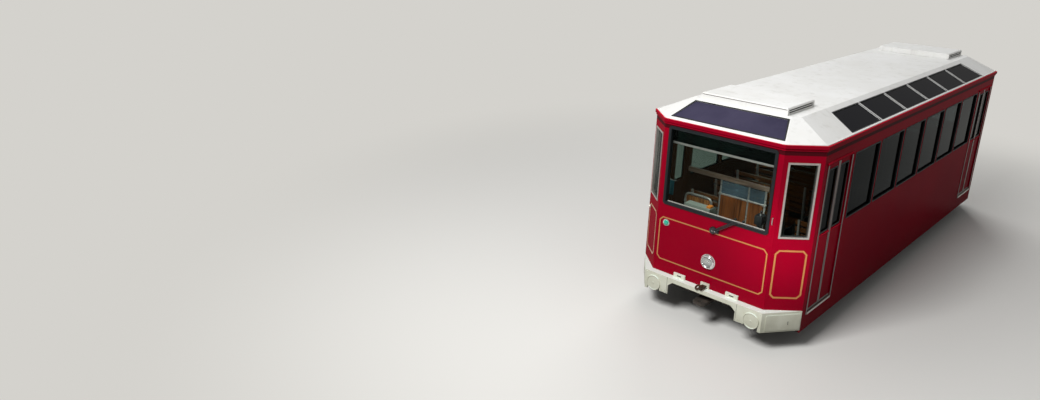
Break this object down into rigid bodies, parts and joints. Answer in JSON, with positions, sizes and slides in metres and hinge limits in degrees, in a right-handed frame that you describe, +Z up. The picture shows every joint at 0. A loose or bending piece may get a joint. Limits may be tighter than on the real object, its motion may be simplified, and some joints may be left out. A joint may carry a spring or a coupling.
{
  "type": "funicular railway car",
  "caption": "Funicular railway car: red body with chamfered ends, white faceted roof with lights, wooden benches, hinged double doors, on two four-wheel bogies.",
  "frame": {"origin": "centre of the car in plan, at the bottom of the wheel flanges", "axes": "+Y towards the uphill end, +X to the right-hand side seen from the downhill end looking along +Y, +Z up"},
  "size_m": [2.632, 8.94, 3.2908],
  "materials": {
    "body_paint": "gloss burgundy coach paint",
    "roof_paint": "satin white paint",
    "skirt_paint": "cream white paint, a little worn",
    "chassis_paint": "dark satin paint",
    "wheel_steel": "rolled wheel steel, bright tread",
    "rubber": "black moulded rubber",
    "aluminium": "brushed aluminium",
    "window_glass": "clear safety glass",
    "roof_glass": "dark tinted glass",
    "chrome": "polished chrome",
    "lens_glass": "clear lamp glass",
    "lamp_glass": "green lamp lens",
    "wood": "varnished hardwood",
    "bench_steel": "brushed stainless steel",
    "floor_covering": "studded rubber flooring",
    "desk": "light grey desk panels"
  },
  "bodies": {
    "car_body": {"underframe_sills": "chassis_paint", "cross_members": "chassis_paint", "bolsters": "chassis_paint", "drawbars": "chassis_paint", "floor_plate": "floor_covering", "side_wall_left": "body_paint", "side_wall_right": "body_paint", "front_end": "body_paint", "rear_end": "body_paint", "cornice": "body_paint", "roof_shell": "roof_paint", "roof_pod_front": "roof_paint", "roof_pod_rear": "roof_paint", "roof_light_glass": "roof_glass", "side_window_glass": "window_glass", "windscreen_frames": "rubber", "windscreen_glass": "window_glass", "corner_window_frames": "aluminium", "corner_window_glass": "window_glass", "skirt_front": "skirt_paint", "skirt_rear": "skirt_paint", "ledge_plates": "skirt_paint", "towing_brackets": "skirt_paint", "headlight_rims": "chrome", "headlight_lenses": "lens_glass", "marker_lamps": "lamp_glass", "wipers": "rubber", "door_thresholds": "aluminium", "bench_slats": "wood", "bench_frames": "bench_steel", "cab_partitions": "wood", "partition_glass": "window_glass", "handrails": "bench_steel", "driver_desks": "desk"},
    "bogie_front": {"bogie_frame_front": "chassis_paint", "rail_brake_front": "chassis_paint"},
    "wheelset_front_outer": {"wheelset_front_outer": "wheel_steel"},
    "wheelset_front_inner": {"wheelset_front_inner": "wheel_steel"},
    "bogie_rear": {"bogie_frame_rear": "chassis_paint", "rail_brake_rear": "chassis_paint"},
    "wheelset_rear_outer": {"wheelset_rear_outer": "wheel_steel"},
    "wheelset_rear_inner": {"wheelset_rear_inner": "wheel_steel"},
    "door_front_left_outer": {"door_front_left_outer": "body_paint", "door_glass_front_left_outer": "window_glass"},
    "door_front_left_inner": {"door_front_left_inner": "body_paint", "door_glass_front_left_inner": "window_glass"},
    "door_front_right_outer": {"door_front_right_outer": "body_paint", "door_glass_front_right_outer": "window_glass"},
    "door_front_right_inner": {"door_front_right_inner": "body_paint", "door_glass_front_right_inner": "window_glass"},
    "door_rear_left_outer": {"door_rear_left_outer": "body_paint", "door_glass_rear_left_outer": "window_glass"},
    "door_rear_left_inner": {"door_rear_left_inner": "body_paint", "door_glass_rear_left_inner": "window_glass"},
    "door_rear_right_outer": {"door_rear_right_outer": "body_paint", "door_glass_rear_right_outer": "window_glass"},
    "door_rear_right_inner": {"door_rear_right_inner": "body_paint", "door_glass_rear_right_inner": "window_glass"}
  },
  "joints": [
    {"name": "bogie_front_swivel", "type": "hinge", "parent": "car_body", "child": "bogie_front", "pos_m": [0, -2.5, 0.4], "axis": [0, 0, 1], "range_deg": [-3, 3]},
    {"name": "wheelset_front_outer_spin", "type": "hinge", "parent": "bogie_front", "child": "wheelset_front_outer", "pos_m": [0, -3.05, 0.213], "axis": [1, 0, 0], "continuous": true},
    {"name": "wheelset_front_inner_spin", "type": "hinge", "parent": "bogie_front", "child": "wheelset_front_inner", "pos_m": [0, -1.95, 0.213], "axis": [1, 0, 0], "continuous": true},
    {"name": "bogie_rear_swivel", "type": "hinge", "parent": "car_body", "child": "bogie_rear", "pos_m": [0, 2.5, 0.4], "axis": [0, 0, 1], "range_deg": [-3, 3]},
    {"name": "wheelset_rear_outer_spin", "type": "hinge", "parent": "bogie_rear", "child": "wheelset_rear_outer", "pos_m": [0, 3.05, 0.213], "axis": [1, 0, 0], "continuous": true},
    {"name": "wheelset_rear_inner_spin", "type": "hinge", "parent": "bogie_rear", "child": "wheelset_rear_inner", "pos_m": [0, 1.95, 0.213], "axis": [1, 0, 0], "continuous": true},
    {"name": "door_front_left_outer_hinge", "type": "hinge", "parent": "car_body", "child": "door_front_left_outer", "pos_m": [-1.242, -3.777, 1.6], "axis": [0, 0, -1], "range_deg": [0, 85]},
    {"name": "door_front_left_inner_hinge", "type": "hinge", "parent": "car_body", "child": "door_front_left_inner", "pos_m": [-1.242, -3.066, 1.6], "axis": [0, 0, 1], "range_deg": [0, 85]},
    {"name": "door_front_right_outer_hinge", "type": "hinge", "parent": "car_body", "child": "door_front_right_outer", "pos_m": [1.242, -3.777, 1.6], "axis": [0, 0, 1], "range_deg": [0, 85]},
    {"name": "door_front_right_inner_hinge", "type": "hinge", "parent": "car_body", "child": "door_front_right_inner", "pos_m": [1.242, -3.066, 1.6], "axis": [0, 0, -1], "range_deg": [0, 85]},
    {"name": "door_rear_left_outer_hinge", "type": "hinge", "parent": "car_body", "child": "door_rear_left_outer", "pos_m": [-1.242, 3.777, 1.6], "axis": [0, 0, 1], "range_deg": [0, 85]},
    {"name": "door_rear_left_inner_hinge", "type": "hinge", "parent": "car_body", "child": "door_rear_left_inner", "pos_m": [-1.242, 3.066, 1.6], "axis": [0, 0, -1], "range_deg": [0, 85]},
    {"name": "door_rear_right_outer_hinge", "type": "hinge", "parent": "car_body", "child": "door_rear_right_outer", "pos_m": [1.242, 3.777, 1.6], "axis": [0, 0, -1], "range_deg": [0, 85]},
    {"name": "door_rear_right_inner_hinge", "type": "hinge", "parent": "car_body", "child": "door_rear_right_inner", "pos_m": [1.242, 3.066, 1.6], "axis": [0, 0, 1], "range_deg": [0, 85]}
  ],
  "couplings": [
    {"joint": "door_front_left_inner_hinge", "follows": "door_front_left_outer_hinge", "ratio": 1},
    {"joint": "door_front_right_inner_hinge", "follows": "door_front_right_outer_hinge", "ratio": 1},
    {"joint": "door_rear_left_inner_hinge", "follows": "door_rear_left_outer_hinge", "ratio": 1},
    {"joint": "door_rear_right_inner_hinge", "follows": "door_rear_right_outer_hinge", "ratio": 1}
  ]
}
